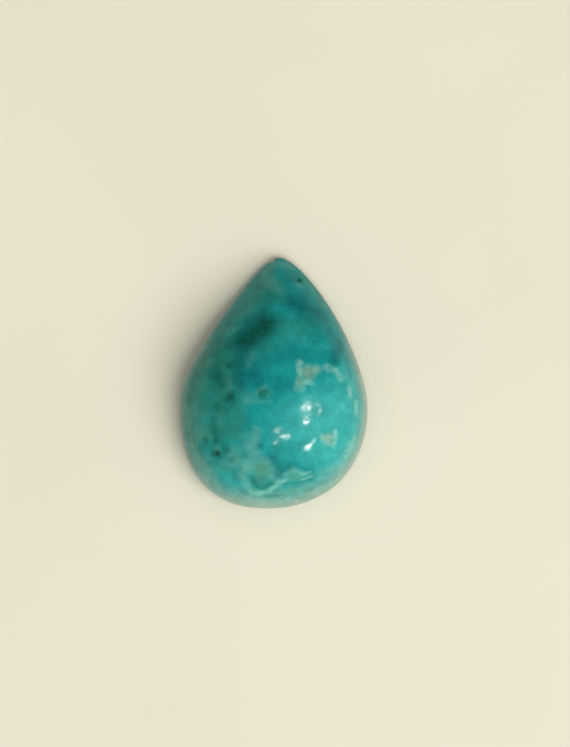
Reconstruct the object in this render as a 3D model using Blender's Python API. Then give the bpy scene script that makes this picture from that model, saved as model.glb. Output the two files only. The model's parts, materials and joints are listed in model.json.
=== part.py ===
"""A pear-shaped turquoise cabochon: one polished stone with a high dome and a flat, lapped back.

Run it with blender --background --python part.py, or from Blender's text editor. Metres, +Z up.
The stone lies on its back at z = 0 with its point towards +Y. The origin is the middle of its
length and width, on the back.
"""

import math

import bmesh
import bpy
from mathutils import Euler, Matrix, Vector
from mathutils import noise
from mathutils.geometry import interpolate_bezier

MM = 0.001

# The whole stone
LENGTH = 16.0 * MM
WIDTH = 11.9 * MM
HEIGHT = 5.3 * MM

# The pear outline: four knots with handles, as a gem cutter's template has a foot, two bellies and a tip
FOOT_X = -0.55 * MM
TIP_X = -0.4 * MM
BELLY_Y = {"right": -1.7 * MM, "left": -1.25 * MM}
FOOT_HANDLES = {"right": 3.7 * MM, "left": 2.4 * MM}
BELLY_LOWER_HANDLES = {"right": 3.95 * MM, "left": 5.6 * MM}
BELLY_UPPER_HANDLES = {"right": 3.35 * MM, "left": 2.25 * MM}
TIP_HANDLES = {"right": 2.0 * MM, "left": 1.05 * MM}
STEPS_PER_CURVE = 60

# The back's bevel, the girdle and the dome above it
BACK_BEVEL = 0.35 * MM
GIRDLE_Z = 0.5 * MM
CREST_Y = -1.1 * MM
DOME_FULLNESS = 2.3
TIP_FULLNESS = 1.3
TIP_NARROWNESS = 3
CREST_ROUNDING = 2.0
SECTORS = 120
DOME_RINGS = 24

# The slow unevenness that hand polishing leaves
WAVE_HEIGHT = 0.07 * MM
WAVE_LENGTH = 3.6 * MM
WAVE_FADE = 0.9 * MM

# Pits left in the polish: place seen from above, opening radius and depth
PITS = {
    "tip_pit": {"at": (0.98 * MM, 6.5 * MM), "radius": 0.2 * MM, "depth": 0.14 * MM},
    "flank_pit": {"at": (-3.33 * MM, -4.74 * MM), "radius": 0.22 * MM, "depth": 0.16 * MM},
}
PIT_SUBDIVISIONS = 2

# The flake missing from the tip's left shoulder
CHIP_CENTRE = Vector((-0.9, 8.1, 0.7)) * MM
CHIP_RADII = Vector((0.3, 0.46, 0.85)) * MM
CHIP_TURN = math.radians(10)
CHIP_SUBDIVISIONS = 3

STONE_COLOUR = (0.012, 0.262, 0.252, 1.0)
STONE_ROUGHNESS = 0.18


def clear_scene():
    for obj in list(bpy.data.objects):
        bpy.data.objects.remove(obj)


def outline_knots():
    """The knots of the girdle's outline, each as its point, its handle in and its handle out."""
    half_width, half_length = WIDTH / 2, LENGTH / 2
    foot = Vector((FOOT_X, -half_length, 0))
    right = Vector((half_width, BELLY_Y["right"], 0))
    tip = Vector((TIP_X, half_length, 0))
    left = Vector((-half_width, BELLY_Y["left"], 0))
    across, along = Vector((1, 0, 0)), Vector((0, 1, 0))
    return [
        (foot, foot - across * FOOT_HANDLES["left"], foot + across * FOOT_HANDLES["right"]),
        (right, right - along * BELLY_LOWER_HANDLES["right"], right + along * BELLY_UPPER_HANDLES["right"]),
        (tip, tip + across * TIP_HANDLES["right"], tip - across * TIP_HANDLES["left"]),
        (left, left + along * BELLY_UPPER_HANDLES["left"], left - along * BELLY_LOWER_HANDLES["left"]),
    ]


def outline_curve():
    """Closely spaced points round the whole outline, starting at the foot and going towards +X."""
    knots = outline_knots()
    points = []
    for here, after in zip(knots, knots[1:] + knots[:1]):
        points += interpolate_bezier(here[0], here[2], after[1], after[0], STEPS_PER_CURVE)[:-1]
    return points


def evenly_spaced(points, count):
    """That many points at equal steps of arc length round a closed curve."""
    closed = points + points[:1]
    lengths = [0.0]
    for a, b in zip(closed, closed[1:]):
        lengths.append(lengths[-1] + (b - a).length)
    spaced = []
    segment = 0
    for i in range(count):
        wanted = lengths[-1] * i / count
        while lengths[segment + 1] < wanted:
            segment += 1
        share = (wanted - lengths[segment]) / (lengths[segment + 1] - lengths[segment])
        spaced.append(closed[segment].lerp(closed[segment + 1], share))
    return spaced


def unevenness(point):
    """How far hand polishing left the dome proud or shy of its true form here, fading out at the girdle."""
    fade = min(1.0, max(0.0, (point.z - GIRDLE_Z) / WAVE_FADE))
    return WAVE_HEIGHT * fade * noise.noise(point / WAVE_LENGTH)


def fullness_towards(spoke):
    """How steeply the dome rises from its edge in this direction: it stays low towards the tip."""
    tipwards = max(0.0, spoke.normalized().y) ** TIP_NARROWNESS
    return DOME_FULLNESS + (TIP_FULLNESS - DOME_FULLNESS) * tipwards


def dome_ring(outline, share):
    """One ring of the dome. Share 0 is the girdle, 1 the crest; rings turn from pear-shaped to round."""
    crest = Vector((0, CREST_Y, 0))
    turn = share * math.pi / 2
    reach = math.cos(turn) ** (2 / DOME_FULLNESS)
    pear_share = reach**CREST_ROUNDING
    mean_radius = sum((p - crest).length for p in outline) / len(outline)
    ring = []
    for p in outline:
        spoke = p - crest
        radius = spoke.length * pear_share + mean_radius * (1 - pear_share)
        point = crest + spoke.normalized() * radius * reach
        point.z = GIRDLE_Z + (HEIGHT - GIRDLE_Z) * math.sin(turn) ** (2 / fullness_towards(spoke))
        outwards = Vector((spoke.x, spoke.y, mean_radius * share)).normalized()
        ring.append(point + outwards * unevenness(point))
    return ring


def back_ring(outline):
    """The rim of the flat back, inside the girdle by the bevel."""
    crest = Vector((0, CREST_Y, 0))
    return [p - (p - crest).normalized() * BACK_BEVEL for p in outline]


def blank_stone():
    """The whole stone before its flaws: flat back, bevel, and rings up to the crest."""
    outline = evenly_spaced(outline_curve(), SECTORS)
    rings = [back_ring(outline)]
    rings += [dome_ring(outline, i / DOME_RINGS) for i in range(DOME_RINGS)]
    bm = bmesh.new()
    loops = [[bm.verts.new(p) for p in ring] for ring in rings]
    bm.faces.new(reversed(loops[0]))
    for lower, upper in zip(loops, loops[1:]):
        for i in range(SECTORS):
            j = (i + 1) % SECTORS
            bm.faces.new((lower[i], lower[j], upper[j], upper[i]))
    crest = bm.verts.new(Vector((0, CREST_Y, HEIGHT)))
    for i in range(SECTORS):
        bm.faces.new((loops[-1][i], loops[-1][(i + 1) % SECTORS], crest))
    mesh = bpy.data.meshes.new("turquoise_stone")
    bm.to_mesh(mesh)
    bm.free()
    return mesh


def surface_point(stone, x, y):
    """The dome's point straight above (x, y), and its outward normal."""
    above = Vector((x, y, 2 * HEIGHT))
    hit, point, normal, _ = stone.ray_cast(above, Vector((0, 0, -1)))
    if not hit:
        raise ValueError(f"nothing of the stone lies under {x}, {y}")
    return point, normal


def add_cutter(name, stone, place, subdivisions):
    """A ball, shaped by the matrix place, that a Boolean takes out of the stone."""
    bm = bmesh.new()
    bmesh.ops.create_icosphere(bm, subdivisions=subdivisions, radius=1.0, matrix=place)
    mesh = bpy.data.meshes.new(name)
    bm.to_mesh(mesh)
    bm.free()
    cutter = bpy.data.objects.new(name, mesh)
    bpy.context.scene.collection.objects.link(cutter)
    cutter.hide_render = True
    cutter.display_type = "WIRE"
    cut = stone.modifiers.new(name, "BOOLEAN")
    cut.operation = "DIFFERENCE"
    cut.solver = "EXACT"
    cut.object = cutter
    return cutter


def cut_pits(stone):
    """Each pit is the bottom of a ball whose centre stands just off the surface."""
    for name, pit in PITS.items():
        point, normal = surface_point(stone, *pit["at"])
        radius = (pit["radius"] ** 2 + pit["depth"] ** 2) / (2 * pit["depth"])
        centre = point + normal * (radius - pit["depth"])
        place = Matrix.Translation(centre) @ Matrix.Scale(radius, 4)
        add_cutter(name, stone, place, PIT_SUBDIVISIONS)


def chip_tip(stone):
    """The shell-shaped scar where a flake came off beside the tip."""
    turn = Euler((0, 0, CHIP_TURN)).to_matrix().to_4x4()
    place = Matrix.Translation(CHIP_CENTRE) @ turn @ Matrix.Diagonal((*CHIP_RADII, 1.0))
    add_cutter("tip_chip", stone, place, CHIP_SUBDIVISIONS)


def polished_turquoise():
    material = bpy.data.materials.new("polished_turquoise")
    material.use_nodes = True
    shader = material.node_tree.nodes["Principled BSDF"]
    shader.inputs["Base Color"].default_value = STONE_COLOUR
    shader.inputs["Roughness"].default_value = STONE_ROUGHNESS
    shader.inputs["Metallic"].default_value = 0.0
    return material


def make_stone():
    stone = bpy.data.objects.new("turquoise_stone", blank_stone())
    bpy.context.scene.collection.objects.link(stone)
    stone.data.materials.append(polished_turquoise())
    stone.data.shade_smooth()
    bpy.context.view_layer.update()
    cut_pits(stone)
    chip_tip(stone)
    return stone


def main():
    clear_scene()
    make_stone()


main()
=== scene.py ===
"""The looks of a polished turquoise cabochon: its skin and markings, a pale floor, soft lights and a camera.

Run it as a script in Blender. Everything is in metres, +Z up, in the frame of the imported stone, whose
point is towards +Y. The markings are placed in millimetres, as seen from above the stone.
"""

import json
import math
from collections import namedtuple

import bpy
import numpy as np
from mathutils import Matrix, Vector
from mathutils.noise import noise_vector, seed_set

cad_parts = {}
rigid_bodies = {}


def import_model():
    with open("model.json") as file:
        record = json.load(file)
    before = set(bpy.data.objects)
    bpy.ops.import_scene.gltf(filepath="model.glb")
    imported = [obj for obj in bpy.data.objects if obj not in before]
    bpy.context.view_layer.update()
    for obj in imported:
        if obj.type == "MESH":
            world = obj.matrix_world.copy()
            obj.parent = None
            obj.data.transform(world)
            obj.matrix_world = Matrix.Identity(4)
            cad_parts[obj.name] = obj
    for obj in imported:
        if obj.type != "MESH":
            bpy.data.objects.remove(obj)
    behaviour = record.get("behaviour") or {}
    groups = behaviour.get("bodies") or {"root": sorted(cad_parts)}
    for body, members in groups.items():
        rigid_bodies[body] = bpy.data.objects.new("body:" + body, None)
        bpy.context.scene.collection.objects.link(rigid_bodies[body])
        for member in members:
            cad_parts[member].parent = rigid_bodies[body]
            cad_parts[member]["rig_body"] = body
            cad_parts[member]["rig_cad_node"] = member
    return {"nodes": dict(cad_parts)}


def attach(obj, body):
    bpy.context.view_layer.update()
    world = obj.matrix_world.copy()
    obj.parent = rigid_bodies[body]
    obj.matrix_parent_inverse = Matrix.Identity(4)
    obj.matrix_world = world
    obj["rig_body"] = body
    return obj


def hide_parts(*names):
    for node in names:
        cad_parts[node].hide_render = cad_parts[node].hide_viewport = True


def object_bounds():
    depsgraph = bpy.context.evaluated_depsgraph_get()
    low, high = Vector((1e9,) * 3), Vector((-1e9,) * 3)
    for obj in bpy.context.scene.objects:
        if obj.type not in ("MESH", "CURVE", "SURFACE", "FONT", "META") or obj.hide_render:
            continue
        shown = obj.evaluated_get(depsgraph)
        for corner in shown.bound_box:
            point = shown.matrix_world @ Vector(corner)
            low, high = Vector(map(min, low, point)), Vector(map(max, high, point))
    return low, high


bl_info = {
    "name": "Turquoise Cabochon",
    "version": (1, 0, 0),
    "blender": (4, 5, 0),
    "location": "View3D > Sidebar > Cabochon",
    "description": "Dresses a pear-shaped turquoise cabochon and lights it on a pale floor",
    "category": "Object",
}

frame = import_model()
CAD_BOX = [list(corner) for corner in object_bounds()]

MM = 0.001
STONE_TOP = CAD_BOX[1][2]


def display_colour(red, green, blue):
    """A linear colour from the three 0 to 255 values that a screen shows it with."""

    def linear(value):
        share = value / 255
        return share / 12.92 if share <= 0.04045 else ((share + 0.055) / 1.055) ** 2.4

    return tuple(linear(value) for value in (red, green, blue))


def colour_property(name, description, red, green, blue):
    return bpy.props.FloatVectorProperty(
        name=name,
        description=description,
        subtype="COLOR",
        size=3,
        min=0.0,
        max=1.0,
        default=display_colour(red, green, blue),
    )


def length_property(name, description, millimetres):
    return bpy.props.FloatProperty(
        name=name,
        description=description,
        subtype="DISTANCE",
        unit="LENGTH",
        min=0.0,
        precision=5,
        default=millimetres * MM,
    )


def strength_property(name, description, default):
    return bpy.props.FloatProperty(name=name, description=description, min=0.0, default=default)


class StoneShape(bpy.types.PropertyGroup):
    """Sizes of the stone's skin and of the flaws in it."""

    skin_grain: length_property("Skin grain", "Edge length of the finished mesh's faces", 0.08)
    facet_passes: bpy.props.IntProperty(
        name="Facet passes",
        description="Smoothing passes that take the solid's facets away",
        default=34,
        min=0,
    )
    wave_height: length_property("Wave height", "Height of the slow unevenness left by polishing", 0.02)
    wave_length: length_property("Wave length", "Distance from one slow wave to the next", 2.0)
    pit_radius: length_property("Pit radius", "Half the width of a pit's opening", 0.2)
    pit_depth: length_property("Pit depth", "Depth of a pit below the polish", 0.09)
    furrow_width: length_property("Furrow width", "Width of the furrows along the seam at the foot", 0.3)
    furrow_depth: length_property("Furrow depth", "Depth of the furrows along the seam at the foot", 0.02)


class StoneColours(bpy.types.PropertyGroup):
    """Colours of the turquoise and of what is grown through it."""

    blue: colour_property("Blue", "The body of the stone", 20, 150, 147)
    bright: colour_property("Bright blue", "The light side of the body", 64, 178, 170)
    deep: colour_property("Deep blue", "The darker, clearer zones", 6, 112, 112)
    green: colour_property("Green", "The greener left side", 38, 130, 114)
    # Painted reflection: the pale floor as the steep rim mirrors it, painted into the colour on the right and
    # at the foot
    painted_rim_reflection: colour_property("Painted rim reflection", "The pale rim on the right and at the foot", 160, 188, 166)
    grey_green: colour_property("Grey green", "The dull green at the lower left and the tip", 94, 164, 151)
    dark_green: colour_property("Dark green", "The clear dark spots", 5, 82, 70)
    matrix: colour_property("Matrix", "The pale seam at the foot", 96, 170, 154)
    olive: colour_property("Olive", "The heart of the seam", 74, 142, 112)
    crack: colour_property("Crack", "The lines along the seam", 30, 126, 106)
    # Chalk also paints two small glints at the lower rim: painted highlights
    chalk: colour_property("Chalk", "The pale, soft patches", 132, 200, 184)
    clay: colour_property("Clay", "The tan middle of a chalk patch", 128, 163, 138)
    # Painted shade: the dark colour laid into the bottom of each pit
    pit_shade: colour_property("Pit shade", "The bottom of a pit", 22, 78, 62)
    back: colour_property("Back", "The ground stone under the polish", 112, 178, 168)
    vein: colour_property("Vein", "The brown veins on the back and low on the sides", 96, 92, 66)


class StageLook(bpy.types.PropertyGroup):
    """The floor, the lights and what the polish mirrors."""

    floor_width: length_property("Floor width", "Side of the square floor", 3000)
    floor_colour: colour_property("Floor", "Colour of the floor", 234, 228, 207)
    key_power: bpy.props.FloatProperty(
        name="Key power",
        description="Power of the main light",
        unit="POWER",
        min=0.0,
        default=8.3,
    )
    key_size: length_property("Key size", "Width of the main light", 860)
    sky_near: strength_property("Near sky", "The sky's strength round the main light", 0.555)
    sky_far: strength_property("Far sky", "The sky's strength opposite the main light", 0.22)
    above_in_polish: strength_property("Sky in polish", "The sky's light that the polish mirrors", 0.25)
    below_in_polish: strength_property("Floor in polish", "The floor's light that the polish mirrors", 0.8)
    glint: strength_property("Glint", "Brightness of the small lamps in the polish", 60.0)


# How the mesh is made
MERGE_DISTANCE = 0.001 * MM
CUTTER_SUBDIVISIONS = 4
SMOOTHING_FACTOR = 0.5
LAST_PASSES = 2

# Places and sizes on the stone, from here down to the strokes, are in millimetres
GIRDLE_Z = 0.5

# The thin tip is smoothed less than the rest: from how far before its end, and how much at the end
TIP_Y = 8.0
TIP_SPARED = 1.5
TIP_SMOOTHING = 0.08

PITS = {"tip_pit": (0.98, 6.5), "flank_pit": (-3.33, -4.74)}
CHIP_CENTRE = Vector((-0.92, 8.05, 0.7))
CHIP_RADII = Vector((0.32, 0.48, 0.95))
CHIP_TURN = math.radians(10)
FURROWS = {
    "upper_left": [(-1.05, -6.1), (-0.75, -6.55), (-0.45, -6.72), (-0.1, -6.55), (0.3, -6.28)],
    "upper_right": [(1.0, -6.32), (1.6, -6.2), (2.3, -6.05), (2.65, -5.9)],
    "lower": [(-0.2, -7.15), (0.1, -7.16), (0.5, -7.1)],
}

# The mesh is split finer within this many furrow widths of a furrow
FURROW_REFINED = 1.2

# A marking is laid on as a brush stroke: its path, half its width, and how much of what is under it it hides
Stroke = namedtuple("Stroke", "path width strength")

# How a colour's strokes end and lie: how far their edge is spread, as a share of half the width, how much
# noise thins them out, and which noise
Finish = namedtuple("Finish", "spread thinning noise")

STROKES = {
    "bright": [
        Stroke([(2.5, -2.3), (4.3, -1.5)], 1.7, 0.85),
        Stroke([(3.2, -4.0), (4.1, -3.9)], 1.3, 0.85),
        Stroke([(4.6, 0.4), (5.1, -2.5)], 0.8, 0.8),
        Stroke([(1.1, -3.1), (2.3, -0.8)], 0.9, 0.45),
        Stroke([(-2.6, -6.0), (-1.4, -7.0), (1.6, -7.0)], 0.6, 0.45),
        Stroke([(0.4, 2.7), (1.5, 2.6)], 0.4, 0.3),
        Stroke([(2.6, 2.3), (3.0, 2.15)], 0.28, 0.3),
        Stroke([(0.3, 3.4), (1.3, 3.3)], 0.5, 0.25),
    ],
    "deep": [
        Stroke([(-2.2, 1.0), (-2.3, -0.2)], 0.75, 1.0),
        Stroke([(-1.6, 0.5), (-1.2, -0.3)], 0.65, 0.85),
        Stroke([(-1.3, 0.9), (0.1, 1.6)], 0.7, 0.4),
        Stroke([(0.1, 1.7), (1.9, 1.6)], 0.5, 0.35),
        Stroke([(-0.4, 0.0), (0.8, -0.2), (0.1, -0.7)], 0.5, 0.5),
        Stroke([(0.9, 5.0), (1.6, 4.7), (2.2, 4.4)], 0.8, 1.0),
        Stroke([(0.2, 5.7), (1.5, 5.5)], 0.5, 0.5),
        Stroke([(1.4, 3.9), (2.1, 3.7)], 0.35, 0.35),
        Stroke([(0.2, 6.6), (0.7, 6.5)], 0.3, 0.6),
        Stroke([(-0.7, 5.4), (-0.2, 5.3)], 0.35, 0.6),
        Stroke([(3.9, 2.55), (3.8, 2.1), (3.5, 1.75)], 0.45, 0.75),
        Stroke([(3.1, 3.4), (3.4, 2.6)], 0.4, 0.5),
        Stroke([(4.2, 2.0), (4.5, 0.9)], 0.3, 0.35),
        Stroke([(0.05, -4.9), (0.6, -5.65)], 0.4, 0.75),
        Stroke([(1.1, -5.2), (2.5, -5.3)], 0.28, 0.5),
        Stroke([(-1.5, -2.5), (-1.5, -3.1)], 0.35, 0.5),
        Stroke([(-0.7, -4.15)], 0.26, 0.7),
    ],
    "green": [
        Stroke([(-4.8, 0.7), (-5.0, -3.3)], 1.6, 1.0),
        Stroke([(-3.5, 1.7), (-3.3, -3.3)], 1.0, 1.0),
        Stroke([(-2.3, -1.4), (-2.4, -3.2)], 0.7, 1.0),
        Stroke([(-2.9, -5.5), (-2.1, -5.9)], 0.5, 0.45),
        Stroke([(0.6, -6.9), (1.6, -6.75)], 0.4, 0.4),
        Stroke([(-3.4, 3.0), (-1.7, 4.5), (-1.0, 5.9)], 1.0, 0.6),
        Stroke([(-0.4, 6.0), (0.0, 5.3)], 0.5, 0.4),
        Stroke([(-1.3, 1.9), (0.3, 3.3), (1.8, 3.6)], 0.9, 0.5),
        Stroke([(0.1, 6.85), (0.9, 6.8), (1.5, 6.1)], 0.35, 0.6),
        Stroke([(-3.3, -4.5), (-2.4, -4.8)], 0.6, 0.6),
        Stroke([(-0.7, -0.92)], 0.4, 0.9),
    ],
    # Painted reflection: a pale band along the right, the foot and the lower left, where the steep rim
    # mirrors the floor
    "painted_rim_reflection": [
        Stroke([(5.4, 0.35), (5.75, -1.1), (5.73, -2.65), (5.36, -4.2)], 0.9, 0.65),
        Stroke([(5.36, -4.2), (4.52, -5.63), (3.26, -6.78), (1.7, -7.5)], 1.1, 0.65),
        Stroke([(1.7, -7.5), (0.0, -7.8), (-1.78, -7.72)], 1.1, 0.75),
        Stroke([(-1.78, -7.72), (-3.45, -7.06), (-4.7, -5.8)], 1.0, 0.5),
        Stroke([(4.86, 1.72), (5.4, 0.35)], 0.9, 0.5),
    ],
    "grey_green": [
        Stroke([(-5.4, -2.6), (-4.8, -5.0), (-4.0, -5.9)], 0.7, 0.75),
        Stroke([(-3.9, -5.0)], 0.5, 0.4),
        Stroke([(-4.9, -2.2), (-4.5, -3.6)], 0.7, 0.45),
        Stroke([(-4.5, 0.6), (-4.8, -0.9)], 0.7, 0.35),
        Stroke([(-4.8, 1.65), (-5.4, 0.3), (-5.78, -1.1), (-5.7, -2.6), (-5.4, -4.25)], 0.9, 0.95),
        Stroke([(-4.45, 1.35)], 0.25, 0.5),
        Stroke([(-3.6, 2.9), (-2.9, 3.0)], 0.35, 0.3),
        Stroke([(-3.4, -2.6)], 0.4, 0.25),
        Stroke([(-2.95, -0.4), (-2.85, -0.9)], 0.25, 0.35),
        Stroke([(-1.1, 7.1), (-0.9, 6.3), (-0.4, 5.9)], 0.45, 0.5),
        Stroke([(-2.3, 4.3), (-1.3, 5.9)], 0.7, 0.15),
        Stroke([(-0.8, 7.35), (0.5, 7.4)], 0.35, 0.6),
        Stroke([(0.9, 6.28), (1.2, 6.22)], 0.1, 0.7),
        Stroke([(-3.4, -4.35)], 0.25, 0.35),
        Stroke([(-1.75, 0.85), (-1.58, 1.4)], 0.2, 0.32),
        Stroke([(-1.5, -3.8), (-1.2, -4.4), (-0.7, -4.9)], 0.4, 0.4),
        Stroke([(-2.1, -4.8), (-1.0, -5.2)], 0.5, 0.4),
        Stroke([(-3.4, -5.6), (-2.6, -5.3)], 0.3, 0.3),
    ],
    "dark_green": [
        Stroke([(-0.85, 3.5), (-1.4, 3.0), (-2.05, 2.4)], 0.8, 1.0),
        Stroke([(-0.75, 3.3), (-1.0, 2.9)], 0.4, 1.0),
        Stroke([(-1.2, 3.95), (-1.9, 3.3)], 0.4, 0.4),
        Stroke([(-2.3, 0.75), (-2.35, 0.3)], 0.5, 0.3),
        Stroke([(-1.6, 1.85), (-2.3, 1.4)], 0.4, 0.3),
        Stroke([(-2.95, 0.65)], 0.24, 0.75),
        Stroke([(-3.65, 0.0), (-3.3, -0.55)], 0.45, 0.6),
        Stroke([(-2.72, -1.2)], 0.34, 0.95),
        Stroke([(-2.5, -1.45)], 0.4, 0.4),
        Stroke([(-3.5, -1.9), (-3.1, -2.0)], 0.3, 0.4),
        Stroke([(-3.6, -2.6), (-3.55, -3.3)], 0.25, 0.4),
        Stroke([(-3.45, -4.0)], 0.25, 0.55),
        Stroke([(-4.1, -3.95)], 0.2, 0.65),
        Stroke([(-2.75, -4.5)], 0.24, 0.6),
        Stroke([(-2.3, -5.2)], 0.2, 0.35),
        # The next two strokes lay the dark green on each pit and a little round it, partly as painted shade
        # in the pit
        Stroke([PITS["flank_pit"]], 0.3, 0.75),
        Stroke([PITS["tip_pit"]], 0.2, 0.6),
        Stroke([(-0.7, -0.92)], 0.33, 0.4),
        Stroke([(-1.5, -4.7)], 0.25, 0.3),
        Stroke([(0.65, -5.7)], 0.2, 0.3),
    ],
    "matrix": [
        Stroke([(-0.98, -3.15), (-0.95, -3.8), (-1.25, -4.2)], 0.22, 0.6),
        Stroke([(-1.25, -4.3), (-0.85, -4.75), (-0.4, -5.25)], 0.3, 0.45),
        Stroke([(-2.4, -5.4), (-1.7, -5.3)], 0.25, 0.45),
        Stroke([(-1.5, -5.6), (-0.4, -5.3), (0.1, -5.85)], 0.48, 0.66),
        Stroke([(-1.0, -5.2), (-0.2, -5.1)], 0.2, 0.5),
        Stroke([(0.25, -6.0), (0.9, -6.05), (1.7, -5.9), (2.3, -5.9)], 0.32, 0.5),
        Stroke([(1.0, -5.75), (1.35, -5.5), (1.75, -5.5)], 0.22, 0.7),
        Stroke([(2.0, -5.6), (2.55, -5.8)], 0.22, 0.75),
        Stroke([(1.3, -6.1), (2.1, -6.0)], 0.14, 0.5),
        Stroke([(1.3, -5.75), (2.1, -5.8)], 0.35, 0.45),
        Stroke([(-1.65, -5.9), (-1.4, -6.5), (-1.0, -6.95)], 0.28, 0.72),
        Stroke([(-1.0, -7.0), (-0.2, -6.93), (0.4, -6.62), (0.85, -6.3)], 0.22, 0.68),
        Stroke([(0.9, -6.75), (1.7, -6.6), (2.5, -6.35)], 0.32, 0.5),
        Stroke([(-0.65, -6.35), (-0.3, -6.3)], 0.13, 0.45),
        Stroke([(-1.8, -1.3), (-1.2, -1.4)], 0.25, 0.28),
        Stroke([(-1.15, -1.4), (-0.4, -1.5)], 0.16, 0.26),
        Stroke([(-1.15, -1.2), (-1.13, -0.75), (-0.7, -0.45)], 0.14, 0.28),
        Stroke([(-0.7, -0.45), (-0.3, -0.75), (-0.3, -1.3)], 0.11, 0.2),
    ],
    "olive": [
        Stroke([(-0.45, -5.5), (-0.65, -5.95)], 0.38, 0.75),
        Stroke([(1.3, 6.8), (1.95, 5.95), (2.6, 4.95)], 0.24, 0.5),
        Stroke([(1.35, -5.75), (1.9, -5.8)], 0.22, 0.35),
    ],
    "crack": [
        Stroke([(-1.05, -6.1), (-0.75, -6.55), (-0.45, -6.72)], 0.18, 0.8),
        Stroke([(-0.45, -6.72), (-0.1, -6.55), (0.3, -6.28)], 0.18, 0.85),
        Stroke([(-0.6, -6.35)], 0.3, 0.4),
        Stroke([(0.95, -6.34), (1.6, -6.2), (2.3, -6.05), (2.6, -5.92)], 0.15, 0.4),
        Stroke([(-0.2, -7.15), (0.1, -7.16), (0.5, -7.1)], 0.18, 0.5),
        Stroke([(-1.7, -6.9), (-1.3, -7.1)], 0.18, 0.4),
    ],
    "chalk": [
        Stroke([(1.4, 1.05), (1.5, 0.6)], 0.25, 0.8),
        Stroke([(1.6, 0.75), (2.4, 0.8)], 0.3, 0.55),
        Stroke([(1.5, 0.3), (1.4, -0.3)], 0.26, 0.5),
        Stroke([(1.25, -0.4), (1.65, -0.35)], 0.2, 0.5),
        Stroke([(1.85, 0.08), (2.2, -0.05)], 0.16, 0.7),
        Stroke([(3.2, 1.0), (3.7, 0.85)], 0.26, 0.62),
        Stroke([(3.65, 0.85), (4.0, 0.46)], 0.27, 0.8),
        Stroke([(4.62, -0.3), (4.7, -0.6)], 0.24, 0.85),
        Stroke([(5.1, -1.1), (5.12, -1.45)], 0.21, 0.75),
        Stroke([(4.1, -1.4)], 0.25, 0.2),
        Stroke([(3.18, -3.28), (3.5, -3.4)], 0.26, 0.75),
        Stroke([(3.5, -3.5), (3.85, -3.7)], 0.2, 0.5),
        Stroke([(3.85, -2.95), (3.9, -3.5)], 0.2, 0.75),
        Stroke([(5.1, -3.3), (4.7, -4.3)], 0.35, 0.5),
        Stroke([(3.3, -5.6), (4.0, -5.3)], 0.5, 0.25),
        Stroke([(2.1, -6.0), (2.45, -5.86), (2.8, -5.8)], 0.09, 0.6),
        Stroke([(2.05, -5.6), (2.5, -5.5)], 0.09, 0.5),
        Stroke([(0.5, -6.3), (0.95, -6.15)], 0.16, 0.5),
        Stroke([(-1.0, -6.96), (-0.5, -7.06), (-0.05, -6.88), (0.4, -6.58)], 0.17, 0.5),
        # These two pale spots at the lower rim are painted glints: small highlights laid on in the chalk
        # colour
        Stroke([(-3.9, -6.45)], 0.14, 1.0),
        Stroke([(1.25, -7.28)], 0.15, 1.0),
    ],
    "clay": [
        Stroke([(1.8, 0.65), (2.15, 0.45)], 0.27, 0.7),
        Stroke([(2.2, 0.7), (2.65, 0.9)], 0.22, 0.5),
        Stroke([(1.5, 0.15), (1.45, -0.1)], 0.2, 0.5),
        Stroke([(3.5, -3.35)], 0.3, 1.0),
    ],
    # Painted shade in the two pits
    "pit_shade": [Stroke([PITS["flank_pit"]], 0.15, 0.9), Stroke([PITS["tip_pit"]], 0.13, 0.5)],
}

FINISHES = {
    "bright": Finish(0.9, 0.3, "soft"),
    "deep": Finish(0.8, 0.3, "soft"),
    "green": Finish(0.7, 0.25, "soft"),
    "painted_rim_reflection": Finish(0.95, 0.25, "soft"),
    "grey_green": Finish(0.8, 0.4, "soft"),
    "dark_green": Finish(0.9, 0.15, "fine"),
    "matrix": Finish(0.75, 0.5, "fine"),
    "olive": Finish(0.8, 0.3, "fine"),
    "crack": Finish(1.0, 0.25, "fine"),
    "chalk": Finish(0.6, 0.55, "speckle"),
    "clay": Finish(0.8, 0.5, "speckle"),
    "pit_shade": Finish(0.5, 0.0, "fine"),
}

# Colours that stay where the mesh has their hollows, and the noise that moves the others: step and reach
EXACT_COLOURS = ("crack", "pit_shade")
WANDERING = ((0.9, 0.14), (0.35, 0.1), (0.17, 0.05))
WANDERING_SEED = 13

DULL_COLOURS = ("matrix", "olive", "crack", "chalk", "clay", "pit_shade")

# The materials' noise: its scale per millimetre, its detail and its roughness
Pattern = namedtuple("Pattern", "scale detail roughness")
PATTERNS = {
    "body": Pattern(0.3, 3.0, 0.55),
    "cloud": Pattern(1.5, 4.0, 0.55),
    "soft": Pattern(0.9, 4.0, 0.6),
    "fine": Pattern(2.3, 4.0, 0.55),
    "speckle": Pattern(2.8, 5.0, 0.65),
    "fleck": Pattern(6.0, 3.0, 0.7),
    "vein": Pattern(0.42, 3.0, 0.5),
    "scratch": Pattern(1.0, 3.0, 0.7),
    "grain": Pattern(14.0, 3.0, 0.6),
    "peel": Pattern(2.6, 2.0, 0.5),
    "floor": Pattern(0.05, 2.0, 0.5),
}

# How a value becomes a share or factor: where its smooth rise starts and ends, and what it rises from and to
Rise = namedtuple("Rise", "low high to_low to_high", defaults=(0.0, 1.0))
GREEN_IN_BODY = Rise(0.52, 0.75, 0.0, 0.6)
CLOUD_SHADE = Rise(0.36, 0.64, 0.91, 1.09)
FLOOR_SHADE = Rise(0.3, 0.7, 0.985, 1.015)
PALE_FLECKS = Rise(0.6, 0.78, 0.0, 0.14)
DARK_FLECKS = Rise(0.38, 0.24, 0.0, 0.18)
STROKE_THINNING = (0.35, 0.6)

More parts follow.
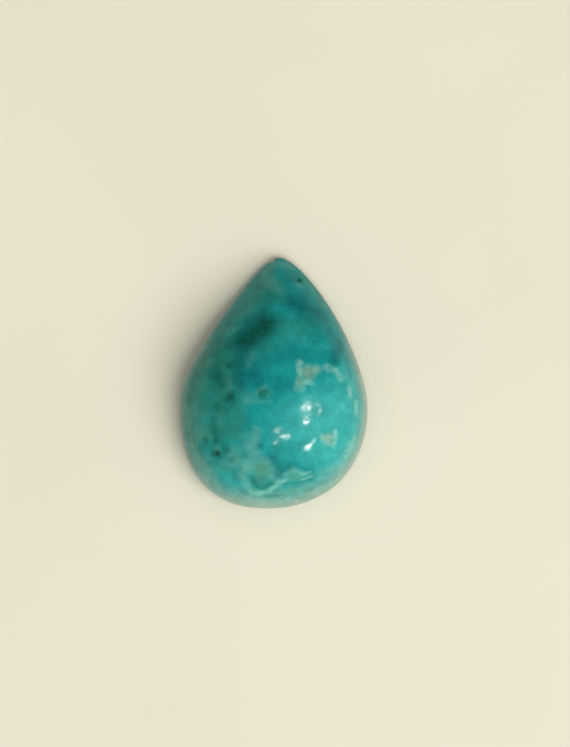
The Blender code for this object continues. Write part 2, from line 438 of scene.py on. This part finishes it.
# Veins lie where their noise crosses its middle, break off where the clouds are low, and end at this height
VEIN_EDGE = Rise(0.016, 0.004)
VEIN_BREAKS = Rise(0.42, 0.55)
VEIN_TOP = Rise(1.1, 0.6)
VEIN_COVER = 0.75

# The ground back ends at this height, ragged by the clouds. Its scratches run one way
GROUND_TOP = Rise(0.55, 0.25)
GROUND_RAGGEDNESS = 0.3
GROUND_COVER = 0.6
SCRATCH_TURN = (0, 0, 0.6)
SCRATCH_SCALE = (0.5, 9.0, 1.0)

# How rough the polish is, and how much rougher the dull colours and the ground back are
POLISH_ROUGHNESS = Rise(0.3, 0.7, 0.075, 0.12)
DULL_ROUGHNESS = 0.14
GROUND_ROUGHNESS = 0.36

# The fine relief: the height of each part as a share of the whole
BUMP_DISTANCE = 0.01 * MM
BUMP_STRENGTH = 0.6
GRAIN_HEIGHT = 0.08
DULL_DEPTH = 0.6
VEIN_DEPTH = 0.5

STONE_SHADER = {
    "IOR": 1.55,
    "Specular IOR Level": 0.4,
    "Subsurface Weight": 0.12,
    "Subsurface Radius": (0.4, 1.0, 0.9),
    "Subsurface Scale": 0.4 * MM,
}
FLOOR_ROUGHNESS = 0.45
FLOOR_DROP = 0.005 * MM

# Lamps whose mirror images show in the polish: the place on the stone in millimetres, the lamp's width and
# height, its turn in degrees, and its share of the full brightness
Glint = namedtuple("Glint", "at size turn share")
GLINT_DISTANCE = 250 * MM
GLINTS = [
    Glint((2.1, -1.62), (32 * MM, 6 * MM), 0, 0.6),
    Glint((2.85, -1.72), (14 * MM, 7 * MM), -25, 0.4),
    Glint((2.1, -1.28), (32 * MM, 3 * MM), 12, 0.3),
    Glint((2.68, -1.38), (22 * MM, 3 * MM), -30, 0.3),
    Glint((2.1, -2.5), (15 * MM, 9 * MM), 0, 0.6),
    Glint((2.05, -2.15), (22 * MM, 3 * MM), 20, 0.3),
    Glint((2.28, -4.0), (20 * MM, 18 * MM), 15, 0.6),
    Glint((2.6, -3.6), (9 * MM, 24 * MM), -38, 0.22),
    Glint((0.85, -3.45), (18 * MM, 12 * MM), -20, 0.28),
    Glint((0.28, -3.15), (7 * MM, 14 * MM), 5, 0.2),
    Glint((0.28, -3.85), (6 * MM, 16 * MM), 5, 0.24),
    Glint((0.5, -3.5), (14 * MM, 3 * MM), 0, 0.15),
]

# The camera looks almost straight down, with the stone's point leaning to the right of up
CAMERA_DISTANCE = 180 * MM
CAMERA_TILT = math.radians(2.6)
CAMERA_NEAR = 10 * MM
STONE_LEAN = math.radians(4.0)

# The picture's height in pixels, how much of the stone one of them shows, and where the camera aims
PICTURE_HEIGHT = 747
PIXEL = 0.0633 * MM
SENSOR = 36.0
AIM_RIGHT_OF_MIDDLE = 9.1 * PIXEL
AIM_ABOVE_MIDDLE = 9.5 * PIXEL

# The main light, from the lower right of the picture
KEY_DISTANCE = 1000 * MM
KEY_FROM_VERTICAL = math.radians(34.5)
KEY_TOWARDS = (0.7, -0.72)

# The sky grows brighter towards the main light, from one cosine of the angle between them to the other
SKY_COLOUR = (1.0, 0.99, 0.965)
SKY_RANGE = (-0.4, 1.0)

# The side of the picture whose light the polish mirrors brightest. Away from it the light falls to a share
# of its strength, from one cosine to the other. At the horizon the floor's light takes over
POLISH_TOWARDS = (0.45, -0.89)
ABOVE_RANGE = (-0.1, 0.6)
ABOVE_FAR_SHARE = 0.3
BELOW_RANGE = (-0.6, 0.4)
BELOW_FAR_SHARE = 0.5
HORIZON = (-0.2, 0.1)

# Added to a direction's level length, so that straight up and straight down belong to no side
LEAST_REACH = 0.03


def deselect_all():
    if bpy.context.mode != "OBJECT":
        bpy.ops.object.mode_set(mode="OBJECT")
    bpy.ops.object.select_all(action="DESELECT")


def pick(obj):
    """Selects this object alone and makes it the active one."""
    deselect_all()
    obj.select_set(True)
    bpy.context.view_layer.objects.active = obj


def finish_with(obj, kind, **settings):
    """Adds a modifier of this kind with these settings, and applies it."""
    pick(obj)
    modifier = obj.modifiers.new(kind.title(), kind)
    for setting, value in settings.items():
        setattr(modifier, setting, value)
    bpy.ops.object.modifier_apply(modifier=modifier.name)


def vertex_places(obj):
    """Every vertex of the mesh as one row of an array, in millimetres."""
    places = np.empty(len(obj.data.vertices) * 3, np.float32)
    obj.data.vertices.foreach_get("co", places)
    return places.reshape(-1, 3).astype(float) / MM


def eased(share):
    """A share from 0 to 1 that starts and ends gently."""
    return share * share * (3 - 2 * share)


def distance_to_path(places, path):
    """Each place's distance to the nearest point of a path of straight runs, or of one point."""
    nearest = np.linalg.norm(places - path[0], axis=1)
    for start, end in zip(path, path[1:]):
        run = np.subtract(end, start)
        share = np.clip((places - start) @ run / (run @ run), 0, 1)
        nearest = np.minimum(nearest, np.linalg.norm(places - start - share[:, None] * run, axis=1))
    return nearest


def surface_above(stone, x, y):
    """The stone's topmost point over a place in millimetres, and its normal there, in metres."""
    start = Vector((x * MM, y * MM, 2 * STONE_TOP))
    hit, point, normal, _ = stone.ray_cast(start, Vector((0, 0, -1)))
    if not hit:
        raise ValueError(f"no part of the stone is under {x}, {y}")
    return point, normal


def copy_of_solid(name):
    """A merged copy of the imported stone, free of the frame."""
    pick(frame["nodes"]["turquoise_stone"])
    bpy.ops.object.duplicate()
    stone = bpy.context.active_object
    bpy.ops.object.parent_clear(type="CLEAR_KEEP_TRANSFORM")
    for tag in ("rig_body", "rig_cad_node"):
        if tag in stone:
            del stone[tag]
    stone.name = stone.data.name = name
    stone.data.materials.clear()
    bpy.ops.object.mode_set(mode="EDIT")
    bpy.ops.mesh.select_all(action="SELECT")
    bpy.ops.mesh.remove_doubles(threshold=MERGE_DISTANCE)
    bpy.ops.object.mode_set(mode="OBJECT")
    return stone


def carve(stone, centre, radii, turn=0.0):
    """Takes a ball, stretched to these radii and turned about the vertical, out of the stone. Metres."""
    deselect_all()
    bpy.ops.mesh.primitive_ico_sphere_add(
        subdivisions=CUTTER_SUBDIVISIONS,
        radius=1.0,
        location=centre,
        rotation=(0, 0, turn),
        scale=radii,
    )
    cutter = bpy.context.active_object
    finish_with(stone, "BOOLEAN", operation="DIFFERENCE", solver="EXACT", object=cutter)
    bpy.data.objects.remove(cutter)


def carve_pits(stone, shape):
    """The bottom of a ball whose centre stands just off the surface, for each pit."""
    ball = (shape.pit_radius**2 + shape.pit_depth**2) / (2 * shape.pit_depth)
    for place in PITS.values():
        point, normal = surface_above(stone, *place)
        carve(stone, point + normal * (ball - shape.pit_depth), (ball, ball, ball))


def weigh(obj, name, weights):
    """A vertex group that holds these weights, where they are above nothing."""
    group = obj.vertex_groups.new(name=name)
    for index in np.flatnonzero(weights > 0):
        group.add([int(index)], float(weights[index]), "REPLACE")
    return name


def refine_near(obj, path, reach):
    """Splits the faces within reach of a path, so that finer shapes can be pressed into them."""
    near = distance_to_path(vertex_places(obj), path) < reach
    pick(obj)
    bpy.ops.object.mode_set(mode="EDIT")
    bpy.ops.mesh.select_mode(type="VERT")
    bpy.ops.mesh.select_all(action="DESELECT")
    bpy.ops.object.mode_set(mode="OBJECT")
    obj.data.vertices.foreach_set("select", near)
    bpy.ops.object.mode_set(mode="EDIT")
    bpy.ops.mesh.select_mode(type="FACE")
    bpy.ops.mesh.subdivide(number_cuts=1, smoothness=1.0)
    bpy.ops.object.mode_set(mode="OBJECT")


def press_furrow(stone, name, path, shape):
    """Presses a shallow round furrow into the stone along a path seen from above."""
    width = shape.furrow_width / MM
    points = [np.array(surface_above(stone, *place)[0]) / MM for place in path]
    refine_near(stone, points, FURROW_REFINED * width)
    reach = np.clip(1 - distance_to_path(vertex_places(stone), points) / (width / 2), 0, 1)
    group = weigh(stone, name, eased(reach))
    finish_with(
        stone, "DISPLACE", direction="NORMAL", mid_level=0.0, strength=-shape.furrow_depth, vertex_group=group
    )


def smooth_facets(stone, shape):
    """Takes the solid's facets away, gently at the thin tip, which smoothing would shorten."""
    tipwards = vertex_places(stone)[:, 1]
    group = weigh(stone, "facets", np.clip((TIP_Y - tipwards) / TIP_SPARED, TIP_SMOOTHING, 1))
    finish_with(stone, "SMOOTH", factor=SMOOTHING_FACTOR, iterations=shape.facet_passes, vertex_group=group)


def polish_waves(stone, shape):
    """Gives the dome, and not the back, the slow unevenness of a stone polished by hand."""
    waves = bpy.data.textures.new("polish_waves", "CLOUDS")
    waves.noise_scale = shape.wave_length
    waves.noise_depth = 1
    rise = np.clip((vertex_places(stone)[:, 2] - GIRDLE_Z) / GIRDLE_Z, 0, 1)
    group = weigh(stone, "dome", rise)
    finish_with(
        stone,
        "DISPLACE",
        texture=waves,
        texture_coords="LOCAL",
        direction="NORMAL",
        mid_level=0.5,
        strength=shape.wave_height,
        vertex_group=group,
    )


def add_node(tree, kind, inputs=(), **settings):
    """A new node with these settings, each input either joined to a socket or set to a value."""
    node = tree.nodes.new(kind)
    for setting, value in settings.items():
        setattr(node, setting, value)
    for key, value in dict(inputs).items():
        if isinstance(value, bpy.types.NodeSocket):
            tree.links.new(value, node.inputs[key])
        else:
            node.inputs[key].default_value = value
    return node


def maths(tree, operation, *values):
    return add_node(tree, "ShaderNodeMath", enumerate(values), operation=operation).outputs[0]


def vector_maths(tree, operation, output, *values):
    return add_node(tree, "ShaderNodeVectorMath", enumerate(values), operation=operation).outputs[output]


def place_in_millimetres(tree):
    """The place in the object's own frame, in millimetres."""
    own = tree.nodes.new("ShaderNodeTexCoord").outputs["Object"]
    return add_node(tree, "ShaderNodeMapping", {"Vector": own, "Scale": (1 / MM, 1 / MM, 1 / MM)}).outputs[0]


def noise(tree, place, name):
    """One of the patterns of noise, from 0 to 1."""
    pattern = PATTERNS[name]
    values = {
        "Vector": place,
        "Scale": pattern.scale,
        "Detail": pattern.detail,
        "Roughness": pattern.roughness,
    }
    return add_node(tree, "ShaderNodeTexNoise", values).outputs["Fac"]


def ramp(tree, value, low, high, to_low=0.0, to_high=1.0):
    """The value's smooth rise from to_low at low to to_high at high."""
    values = {"Value": value, "From Min": low, "From Max": high, "To Min": to_low, "To Max": to_high}
    return add_node(tree, "ShaderNodeMapRange", values, interpolation_type="SMOOTHSTEP").outputs["Result"]


def cover(tree, under, over, share, way="MIX"):
    """The colour under, with the colour over laid on it by this share."""
    values = {0: share, 6: under, 7: over}
    return add_node(tree, "ShaderNodeMix", values, data_type="RGBA", blend_type=way).outputs[2]


def shaded(tree, colour, shade):
    """The colour, made lighter or darker by the factor shade."""
    factor = add_node(tree, "ShaderNodeCombineColor", {0: shade, 1: shade, 2: shade}).outputs[0]
    return cover(tree, colour, factor, 1.0, "MULTIPLY")


def rgb(colour):
    return (*colour, 1.0)


def wander(places):
    """The places in millimetres, shifted a little by noise, so that no stroke keeps a straight side."""
    seed_set(WANDERING_SEED)
    moved = places.copy()
    for step, reach in WANDERING:
        for row, place in zip(moved, places):
            row += reach * np.array(noise_vector(Vector(place) / step))
    return moved


def lay_strokes(stone):
    """Writes into the mesh how much each colour's strokes hide of what is under them."""
    places = vertex_places(stone)
    moved = wander(places)
    for name, strokes in STROKES.items():
        field = np.zeros(len(places))
        spread = FINISHES[name].spread
        for stroke in strokes:
            path = [np.array(surface_above(stone, *place)[0]) / MM for place in stroke.path]
            away = distance_to_path(places if name in EXACT_COLOURS else moved, path) / stroke.width
            inside = np.clip((1 + spread - away) / (2 * spread), 0, 1)
            field = np.maximum(field, stroke.strength * eased(inside))
        stone.data.attributes.new(name, "FLOAT", "POINT").data.foreach_set("value", field.astype(np.float32))


def paint_strokes(tree, colour, noises, colours):
    """Paints the strokes over the colour. Returns the colour, and how far the dull colours cover it."""
    dull = None
    for name, finish in FINISHES.items():
        field = add_node(tree, "ShaderNodeAttribute", attribute_name=name).outputs["Fac"]
        kept = ramp(tree, noises[finish.noise], *STROKE_THINNING, 1 - finish.thinning, 1.0)
        mask = maths(tree, "MULTIPLY", field, kept)
        colour = cover(tree, colour, rgb(getattr(colours, name)), mask)
        if name in DULL_COLOURS:
            dull = mask if dull is None else maths(tree, "MAXIMUM", dull, mask)
    return colour, dull


def veins(tree, place, cloud, height):
    """How much of a thin broken vein is here. The veins lie low on the sides and in the back."""
    from_middle = maths(tree, "ABSOLUTE", maths(tree, "SUBTRACT", noise(tree, place, "vein"), 0.5))
    broken = maths(tree, "MULTIPLY", ramp(tree, from_middle, *VEIN_EDGE), ramp(tree, cloud, *VEIN_BREAKS))
    return maths(tree, "MULTIPLY", broken, ramp(tree, height, *VEIN_TOP))


def lapping_scratches(tree, place):
    """Fine straight scratches, as a grinding lap leaves them."""
    stretch = {"Vector": place, "Rotation": SCRATCH_TURN, "Scale": SCRATCH_SCALE}
    return noise(tree, add_node(tree, "ShaderNodeMapping", stretch).outputs[0], "scratch")


def turquoise_material(colours):
    """Polished turquoise, whose patterns are placed in millimetres in the stone's own frame."""
    material = bpy.data.materials.new("polished_turquoise")
    material.use_nodes = True
    tree = material.node_tree
    shader = tree.nodes["Principled BSDF"]
    place = place_in_millimetres(tree)
    height = add_node(tree, "ShaderNodeSeparateXYZ", {0: place}).outputs["Z"]
    cloud = noise(tree, place, "cloud")

    greener = ramp(tree, noise(tree, place, "body"), *GREEN_IN_BODY)
    colour = cover(tree, rgb(colours.blue), rgb(colours.green), greener)
    noises = {name: noise(tree, place, name) for name in ("soft", "fine", "speckle")}
    colour, dull = paint_strokes(tree, colour, noises, colours)
    colour = shaded(tree, colour, ramp(tree, cloud, *CLOUD_SHADE))
    fleck = noise(tree, place, "fleck")
    colour = cover(tree, colour, rgb(colours.chalk), ramp(tree, fleck, *PALE_FLECKS))
    colour = cover(tree, colour, rgb(colours.dark_green), ramp(tree, fleck, *DARK_FLECKS))

    ragged_height = maths(tree, "ADD", height, maths(tree, "MULTIPLY", cloud, GROUND_RAGGEDNESS))
    ground = ramp(tree, ragged_height, *GROUND_TOP)
    colour = cover(tree, colour, rgb(colours.back), maths(tree, "MULTIPLY", ground, GROUND_COVER))
    vein = veins(tree, place, cloud, height)
    colour = cover(tree, colour, rgb(colours.vein), maths(tree, "MULTIPLY", vein, VEIN_COVER))

    rough = ramp(tree, cloud, *POLISH_ROUGHNESS)
    rough = maths(tree, "ADD", rough, maths(tree, "MULTIPLY", dull, DULL_ROUGHNESS))
    rough = maths(tree, "ADD", rough, maths(tree, "MULTIPLY", ground, GROUND_ROUGHNESS))

    grain = maths(tree, "MULTIPLY", noise(tree, place, "grain"), GRAIN_HEIGHT)
    relief = maths(tree, "ADD", noise(tree, place, "peel"), grain)
    relief = maths(tree, "SUBTRACT", relief, maths(tree, "MULTIPLY", dull, DULL_DEPTH))
    relief = maths(tree, "SUBTRACT", relief, maths(tree, "MULTIPLY", vein, VEIN_DEPTH))
    relief = maths(tree, "ADD", relief, maths(tree, "MULTIPLY", ground, lapping_scratches(tree, place)))
    bump = {"Height": relief, "Strength": BUMP_STRENGTH, "Distance": BUMP_DISTANCE}
    normal = add_node(tree, "ShaderNodeBump", bump).outputs["Normal"]

    tree.links.new(colour, shader.inputs["Base Color"])
    tree.links.new(rough, shader.inputs["Roughness"])
    tree.links.new(normal, shader.inputs["Normal"])
    for socket, value in STONE_SHADER.items():
        shader.inputs[socket].default_value = value
    return material


class TURQUOISE_OT_stone(bpy.types.Operator):
    """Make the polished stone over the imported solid"""

    bl_idname = "turquoise.stone"
    bl_label = "Polished Stone"

    def execute(self, context):
        shape = context.scene.cabochon_shape
        stone = copy_of_solid("polished_stone")
        finish_with(stone, "REMESH", mode="VOXEL", voxel_size=shape.skin_grain)
        smooth_facets(stone, shape)
        polish_waves(stone, shape)
        carve_pits(stone, shape)
        carve(stone, CHIP_CENTRE * MM, CHIP_RADII * MM, CHIP_TURN)
        finish_with(stone, "REMESH", mode="VOXEL", voxel_size=shape.skin_grain)
        finish_with(stone, "SMOOTH", factor=SMOOTHING_FACTOR, iterations=LAST_PASSES)
        for name, path in FURROWS.items():
            press_furrow(stone, name, path, shape)
        lay_strokes(stone)
        pick(stone)
        bpy.ops.object.shade_smooth()
        stone.data.materials.append(turquoise_material(context.scene.cabochon_colours))
        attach(stone, "root")
        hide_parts("turquoise_stone")
        return {"FINISHED"}


def picture_axes():
    """The picture's right and up, and the way back to the camera, as directions in the stone's frame."""
    level_up = Vector((-math.sin(STONE_LEAN), math.cos(STONE_LEAN), 0))
    back = level_up * -math.sin(CAMERA_TILT) + Vector((0, 0, 1)) * math.cos(CAMERA_TILT)
    right = level_up.cross(back).normalized()
    return right, back.cross(right), back


def in_stone_frame(rightwards, upwards):
    """The level direction that points this far right and up in the picture."""
    right, up, _ = picture_axes()
    level = right * rightwards + up * upwards
    return Vector((level.x, level.y, 0)).normalized()


def towards_key():
    """The direction of the main light."""
    level = in_stone_frame(*KEY_TOWARDS)
    return level * math.sin(KEY_FROM_VERTICAL) + Vector((0, 0, 1)) * math.cos(KEY_FROM_VERTICAL)


def add_camera():
    """A camera that frames the stone from almost straight above."""
    right, up, back = picture_axes()
    middle = Vector((0, 0, GIRDLE_Z * MM))
    aim = middle + right * AIM_RIGHT_OF_MIDDLE + up * AIM_ABOVE_MIDDLE
    data = bpy.data.cameras.new("camera")
    data.sensor_width = SENSOR
    data.lens = SENSOR * CAMERA_DISTANCE / (PICTURE_HEIGHT * PIXEL)
    data.clip_start = CAMERA_NEAR
    camera = bpy.data.objects.new("camera", data)
    bpy.context.scene.collection.objects.link(camera)
    turn = Matrix((right, up, back)).transposed().to_4x4()
    camera.matrix_world = Matrix.Translation(aim + back * CAMERA_DISTANCE) @ turn
    bpy.context.scene.camera = camera


def add_area_light(name, turn, place, size, power):
    """A rectangular lamp at place, turned by a matrix that holds its width, height and back as columns."""
    data = bpy.data.lights.new(name, "AREA")
    data.shape = "RECTANGLE"
    data.size, data.size_y = size
    data.energy = power
    lamp = bpy.data.objects.new(name, data)
    bpy.context.scene.collection.objects.link(lamp)
    lamp.matrix_world = Matrix.Translation(place) @ turn.to_4x4()
    return lamp


def floor_material(colour):
    """A plain pale surface, a little cloudy in its colour."""
    material = bpy.data.materials.new("pale_floor")
    material.use_nodes = True
    tree = material.node_tree
    shader = tree.nodes["Principled BSDF"]
    shade = ramp(tree, noise(tree, place_in_millimetres(tree), "floor"), *FLOOR_SHADE)
    tree.links.new(shaded(tree, rgb(colour), shade), shader.inputs["Base Color"])
    shader.inputs["Roughness"].default_value = FLOOR_ROUGHNESS
    return material


def soft_sky(look):
    """A sky that is brightest on the main light's side, and the one that the polish mirrors in its place."""
    world = bpy.data.worlds.new("soft_sky")
    world.use_nodes = True
    tree = world.node_tree
    background = tree.nodes["Background"]
    direction = tree.nodes.new("ShaderNodeTexCoord").outputs["Generated"]
    nearness = vector_maths(tree, "DOT_PRODUCT", "Value", direction, towards_key())
    sky = ramp(tree, nearness, *SKY_RANGE, look.sky_far, look.sky_near)

    level = vector_maths(tree, "MULTIPLY", "Vector", direction, (1, 1, 0))
    reach = vector_maths(tree, "LENGTH", "Value", level)
    bright_side = vector_maths(tree, "DOT_PRODUCT", "Value", level, in_stone_frame(*POLISH_TOWARDS))
    bright_side = maths(tree, "DIVIDE", bright_side, maths(tree, "ADD", reach, LEAST_REACH))
    above, below = look.above_in_polish, look.below_in_polish
    above = ramp(tree, bright_side, *ABOVE_RANGE, ABOVE_FAR_SHARE * above, above)
    below = ramp(tree, bright_side, *BELOW_RANGE, BELOW_FAR_SHARE * below, below)
    upwards = add_node(tree, "ShaderNodeSeparateXYZ", {0: direction}).outputs["Z"]
    in_polish = ramp(tree, upwards, *HORIZON, below, above)

    is_mirror = tree.nodes.new("ShaderNodeLightPath").outputs["Is Glossy Ray"]
    mirrors_floor = maths(tree, "MULTIPLY", is_mirror, ramp(tree, upwards, *HORIZON, 1.0, 0.0))
    colour = cover(tree, rgb(SKY_COLOUR), rgb(look.floor_colour), mirrors_floor)
    strength = {0: is_mirror, 2: sky, 3: in_polish}
    strength = add_node(tree, "ShaderNodeMix", strength, data_type="FLOAT").outputs[0]
    tree.links.new(colour, background.inputs["Color"])
    tree.links.new(strength, background.inputs["Strength"])
    return world


class TURQUOISE_OT_stage(bpy.types.Operator):
    """Make the pale floor, the soft sky and the camera"""

    bl_idname = "turquoise.stage"
    bl_label = "Floor and Camera"

    def execute(self, context):
        look = context.scene.cabochon_stage
        deselect_all()
        bpy.ops.mesh.primitive_plane_add(size=look.floor_width, location=(0, 0, -FLOOR_DROP))
        floor = context.active_object
        floor.name = floor.data.name = "floor"
        floor.data.materials.append(floor_material(look.floor_colour))
        floor.visible_glossy = False
        context.scene.world = soft_sky(look)
        context.scene.view_settings.view_transform = "Standard"
        add_camera()
        return {"FINISHED"}


class TURQUOISE_OT_lights(bpy.types.Operator):
    """Light the stone with one large soft lamp and a few small ones that show in its polish"""

    bl_idname = "turquoise.lights"
    bl_label = "Lights"

    def execute(self, context):
        look = context.scene.cabochon_stage
        stone = bpy.data.objects.get("polished_stone")
        camera = context.scene.camera
        if stone is None or camera is None:
            raise RuntimeError("make the stone and the stage before the lights")
        turn = towards_key().to_track_quat("Z", "Y").to_matrix()
        size = (look.key_size, look.key_size)
        key = add_area_light("key_light", turn, towards_key() * KEY_DISTANCE, size, look.key_power)
        key.visible_glossy = False
        right, _, _ = picture_axes()
        for number, glint in enumerate(GLINTS):
            point, normal = surface_above(stone, *glint.at)
            sight = (point - camera.location).normalized()
            back = sight.reflect(normal)
            width = right.reflect(normal)
            turn = Matrix((width, back.cross(width), back)).transposed()
            turn = turn @ Matrix.Rotation(math.radians(glint.turn), 3, "Z")
            power = look.glint * glint.share * math.pi * glint.size[0] * glint.size[1]
            lamp = add_area_light(f"glint_{number}", turn, point + back * GLINT_DISTANCE, glint.size, power)
            lamp.visible_diffuse = False
        return {"FINISHED"}


class TURQUOISE_PT_panel(bpy.types.Panel):
    """Everything that makes the cabochon, in order"""

    bl_label = "Turquoise Cabochon"
    bl_idname = "TURQUOISE_PT_panel"
    bl_space_type = "VIEW_3D"
    bl_region_type = "UI"
    bl_category = "Cabochon"

    def draw(self, context):
        scene = context.scene
        for settings in (scene.cabochon_shape, scene.cabochon_colours, scene.cabochon_stage):
            box = self.layout.box()
            for name in settings.__annotations__:
                box.prop(settings, name)
        for operator in OPERATORS:
            self.layout.operator(operator.bl_idname)


OPERATORS = (TURQUOISE_OT_stone, TURQUOISE_OT_stage, TURQUOISE_OT_lights)
CLASSES = (StoneShape, StoneColours, StageLook, *OPERATORS, TURQUOISE_PT_panel)


def register():
    for each in CLASSES:
        bpy.utils.register_class(each)
    bpy.types.Scene.cabochon_shape = bpy.props.PointerProperty(type=StoneShape)
    bpy.types.Scene.cabochon_colours = bpy.props.PointerProperty(type=StoneColours)
    bpy.types.Scene.cabochon_stage = bpy.props.PointerProperty(type=StageLook)


def unregister():
    del bpy.types.Scene.cabochon_stage
    del bpy.types.Scene.cabochon_colours
    del bpy.types.Scene.cabochon_shape
    for each in reversed(CLASSES):
        bpy.utils.unregister_class(each)


def main():
    register()
    bpy.ops.turquoise.stone()
    bpy.ops.turquoise.stage()
    bpy.ops.turquoise.lights()


if __name__ == "__main__":
    main()
